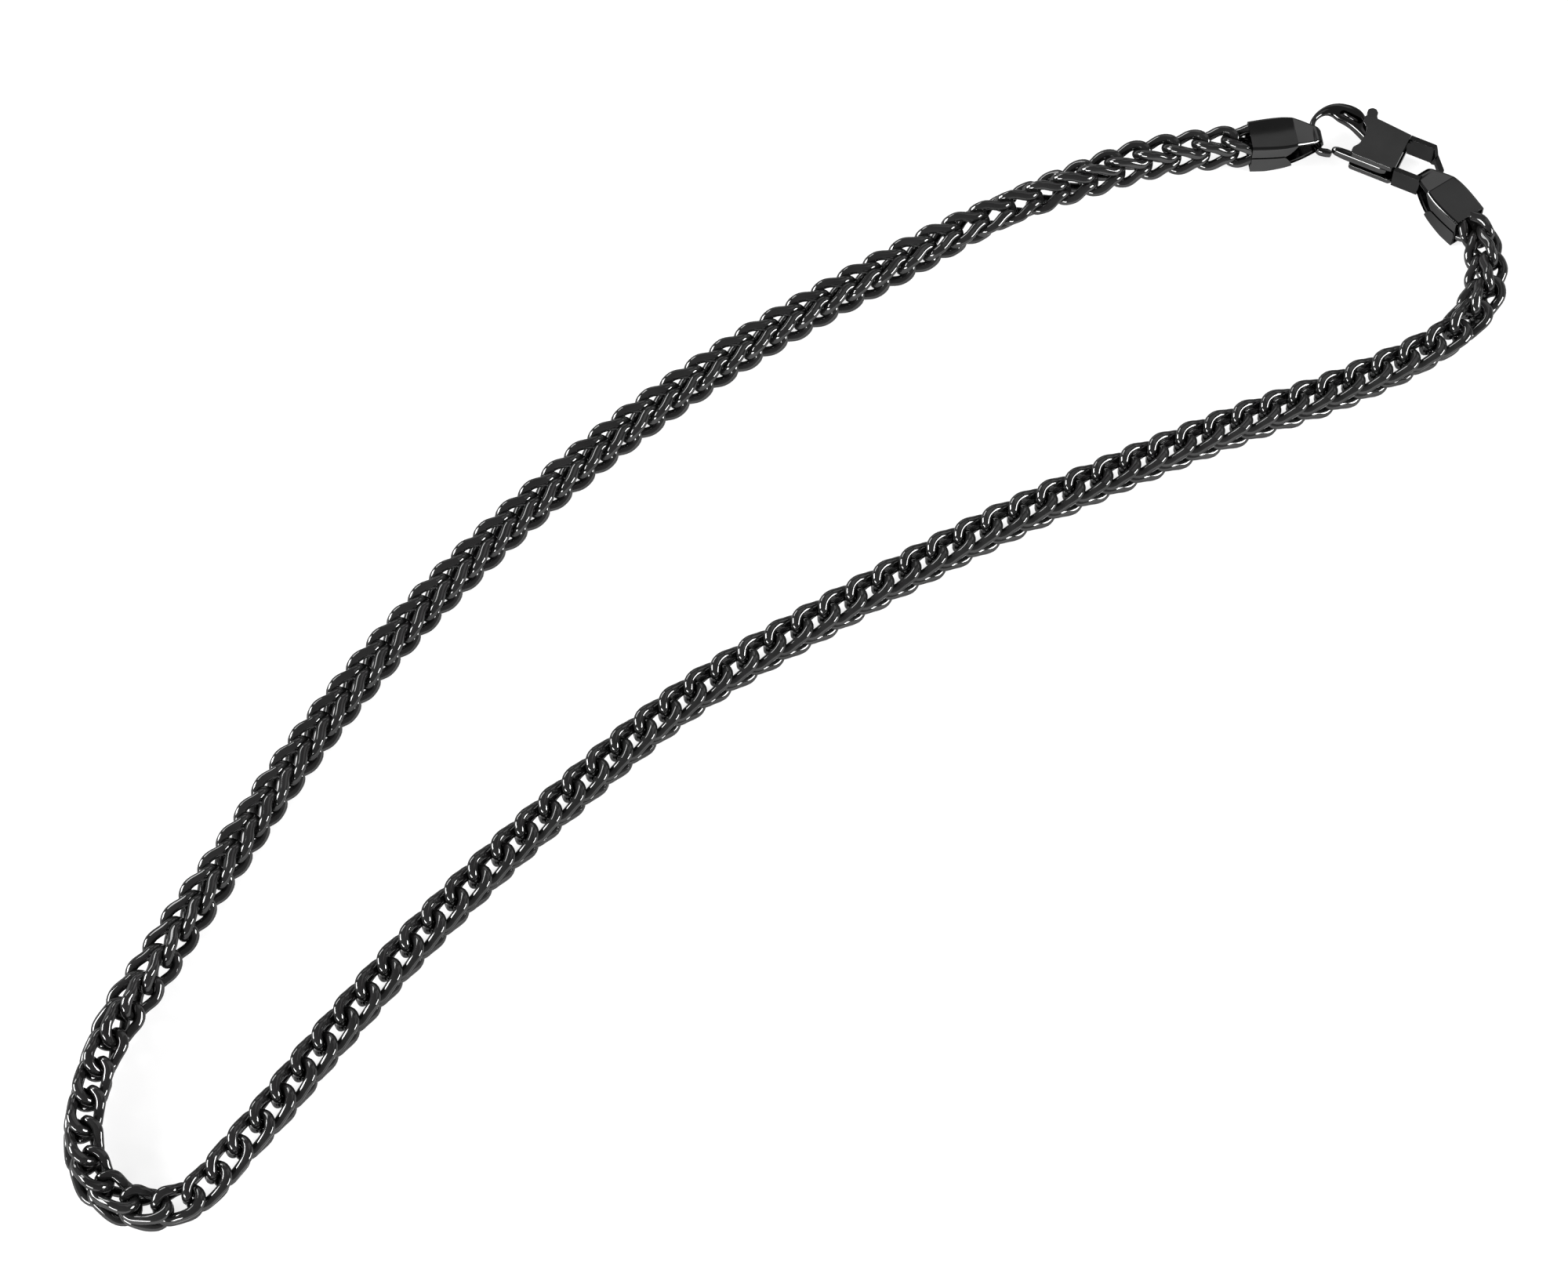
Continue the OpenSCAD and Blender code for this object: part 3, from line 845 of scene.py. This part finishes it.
def make_lever():
    half, tab = BODY_WIDTH / 2, (BODY_LENGTH - 0.1, -BODY_WIDTH / 2 - 2.3)
    outline = [
        (1.9, half - 1.6), (PIVOT[0] - 1.4, PIVOT[1] - 0.9), (PIVOT[0] - 0.2, PIVOT[1] - 2.4),
        (tab[0] - 2.2, -half - 0.2), (tab[0] - 0.95, tab[1] + 0.3), (tab[0] - 0.9, tab[1] - 0.35),
        (tab[0] - 0.35, tab[1] - 0.9), (tab[0] + 0.35, tab[1] - 0.9), (tab[0] + 0.9, tab[1] - 0.35),
        (tab[0] + 0.85, tab[1] + 0.4), (tab[0] + 0.1, tab[1] + 1.8), (EYE_X - 0.1, -half + 0.1),
        (EYE_X - 0.5, -2.2), (EYE_X - 0.6, 1.2), (BODY_LENGTH, half - 1.4), (BODY_LENGTH, half - 0.5),
        (1.9, half - 0.5), (1.3, half - 0.7), (1.3, half - 1.3),
    ]
    lever = prism("lever", rounded(outline, 0.5), -LEVER_THICK / 2, LEVER_THICK / 2, from_clasp)
    bore = pin_circle(PIN_D / 2 + PIN_GAP)
    combine(lever, prism("bore", bore, -LEVER_THICK, LEVER_THICK, from_clasp), "DIFFERENCE")
    soften(lever, 0.4, segments=4, angle=50)
    rows = [(1.15, 0.05, 0.1), (1.25, 0.3, 0.5), (1.5, 0.55, 0.8), (2.2, 0.72, 1.0)]
    rows += [(u, 0.75, 1.0) for u in (3.0, 3.4, 5.5, 8.2, 8.6)]
    rows += [(9.6, 0.7, 0.95), (10.4, 0.62, 0.85), (10.9, 0.5, 0.7), (11.15, 0.33, 0.48)]
    rows.append((11.27, 0.08, 0.12))
    bar = rod(
        "bar", rows, lambda u, v, z: (u, half - 0.8 + v, z), sides=32, square=0.8, groove=GROOVE_DEPTH
    )
    lever = merged("lever_bar", [lever, bar])
    dress(lever, CLASP_STEEL, "clasp_steel", "lever", "clasp_lever")


def tail_outline(inset):
    """The tail ring's outline in plan, moved inwards by inset."""
    side, end = TAIL_WIDTH / 2 - inset, TAIL_LENGTH - inset
    nose, shoulder = 0.8 - 0.4 * inset, TAIL_LENGTH * 0.64 - 0.35 * inset
    left = [(0, side), (-shoulder, side), (-end, nose)]
    return left + [(x, -y) for x, y in left[::-1]]


def make_tail_ring():
    outline = rounded(tail_outline(0), [0, 0.8, 0.4, 0.4, 0.8, 0])
    ring = prism("ring", outline, -3, 3, from_clasp)
    # The hole runs out past the ring's open end
    hole = [(x + (1 if x == 0 else 0), y) for x, y in tail_outline(TAIL_STRIP)]
    hole = rounded(hole, [0, 0.5, 0.2, 0.2, 0.5, 0])
    combine(ring, prism("hole", hole, -4, 4, from_clasp), "DIFFERENCE")
    h, bar = TAIL_HEIGHT / 2, TAIL_BAR_H / 2
    side = [
        (-0.03, -h), (-0.03, h), (-TAIL_LENGTH * 0.62, h), (-TAIL_LENGTH * 0.72, bar),
        (-TAIL_LENGTH - 1, bar),
    ]
    side += [(x, -z) for x, z in side[:1:-1]]
    combine(ring, side_prism("side", side, 2 * TAIL_WIDTH, from_clasp), "INTERSECT")
    foot_h = BODY_THICK / 2 - PLATE_THICK - PIECE_GAP / 2
    foot = [
        (-0.8, -TAIL_WIDTH / 2 + 0.1), (1.5, -BODY_WIDTH / 2 + 0.3), (1.5, -BODY_WIDTH / 2 + 1.4),
        (-0.8, -TAIL_WIDTH / 2 + TAIL_STRIP - 0.1),
    ]
    combine(ring, prism("foot", foot, -foot_h, foot_h, from_clasp), "UNION")
    ring.name = "tail_ring_strip"
    soften(ring, 0.13)
    dress(ring, RING_STEEL_PAINTED_SHADE, "clasp_steel", "necklace", "clasp_tail_ring")


# Floor, light and camera


def make_floor():
    corners = [(x * FLOOR_HALF, y * FLOOR_HALF, 0) for x, y in ((-1, -1), (1, -1), (1, 1), (-1, 1))]
    floor = new_object("floor", corners, [(0, 1, 2, 3)])
    n = Nodes("white_table")
    where = n.add("ShaderNodeTexCoord").outputs["Object"]
    reach = n.add("ShaderNodeVectorMath", {0: where}, operation="LENGTH").outputs["Value"]
    glow = n.add("ShaderNodeMapRange", {
        "Value": reach, "From Min": GLOW_REACH[0], "From Max": GLOW_REACH[1],
        "To Min": GLOW[0], "To Max": GLOW[1],
    }, interpolation_type="SMOOTHSTEP")
    n.link(glow.outputs["Result"], "Emission Strength")
    n.shader.inputs["Base Color"].default_value = (*grey(FLOOR_GREY), 1)
    n.shader.inputs["Roughness"].default_value = 0.9
    n.shader.inputs["Specular IOR Level"].default_value = 0.0
    n.shader.inputs["Emission Color"].default_value = (1, 1, 1, 1)
    floor.data.materials.append(n.material)


def make_world():
    """A studio that is a little brighter near the horizon than overhead."""
    world = bpy.data.worlds.new("studio")
    bpy.context.scene.world = world
    world.use_nodes = True
    tree = world.node_tree
    where = tree.nodes.new("ShaderNodeTexCoord")
    parts = tree.nodes.new("ShaderNodeSeparateXYZ")
    ramp = tree.nodes.new("ShaderNodeValToRGB")
    tree.links.new(where.outputs["Generated"], parts.inputs["Vector"])
    tree.links.new(parts.outputs["Z"], ramp.inputs["Fac"])
    stops = ramp.color_ramp.elements
    stops[0].position, stops[1].position = SKY[0][0], SKY[-1][0]
    for height, _ in SKY[1:-1]:
        stops.new(height)
    for stop, (_, value) in zip(stops, SKY):
        stop.color = (*grey(value), 1)
    tree.links.new(ramp.outputs["Color"], tree.nodes["Background"].inputs["Color"])
    tree.nodes["Background"].inputs["Strength"].default_value = 1.0


def add_light(name, place, target, width, height, glow):
    """A soft rectangular lamp, glow being its brightness where white paper is 1."""
    light = bpy.data.lights.new(name, "AREA")
    light.shape = "RECTANGLE"
    light.size, light.size_y = width, height
    light.energy = glow * math.pi * width * height
    obj = bpy.data.objects.new(name, light)
    bpy.context.scene.collection.objects.link(obj)
    obj.location = place
    obj.rotation_euler = (Vector(target) - Vector(place)).to_track_quat("-Z", "Y").to_euler()


def add_softbox(name, azimuth, elevation, distance, width, height, glow):
    """A lamp that points at the middle of the necklace."""
    flat = distance * math.cos(math.radians(elevation))
    place = (*(flat * heading(azimuth)), distance * math.sin(math.radians(elevation)))
    add_light(name, place, (0, 0, 0), width, height, glow)


def make_camera():
    eye, aim = in_frame([CAMERA_PLACE, (0, 0, 0)]) * MM
    camera = bpy.data.cameras.new("camera")
    camera.sensor_width = CAMERA_SENSOR_W
    camera.sensor_fit = "HORIZONTAL"
    camera.lens = CAMERA_LENS
    obj = bpy.data.objects.new("camera", camera)
    bpy.context.scene.collection.objects.link(obj)
    obj.location = eye
    obj.rotation_euler = Vector(aim - eye).to_track_quat("-Z", "Y").to_euler()
    bpy.context.scene.camera = obj


make_camera()
make_chain()
make_cap("left_cap", LEFT_MOUTH, LEFT_CAP_TURN)
make_cap("right_cap", RIGHT_MOUTH, RIGHT_CAP_TURN)
make_clasp_body()
make_lever()
make_tail_ring()
make_floor()
make_world()
for softbox in SOFTBOXES:
    add_softbox(*softbox)
for panel in PANELS:
    add_light(*panel)
bpy.context.scene.view_settings.view_transform = "Standard"
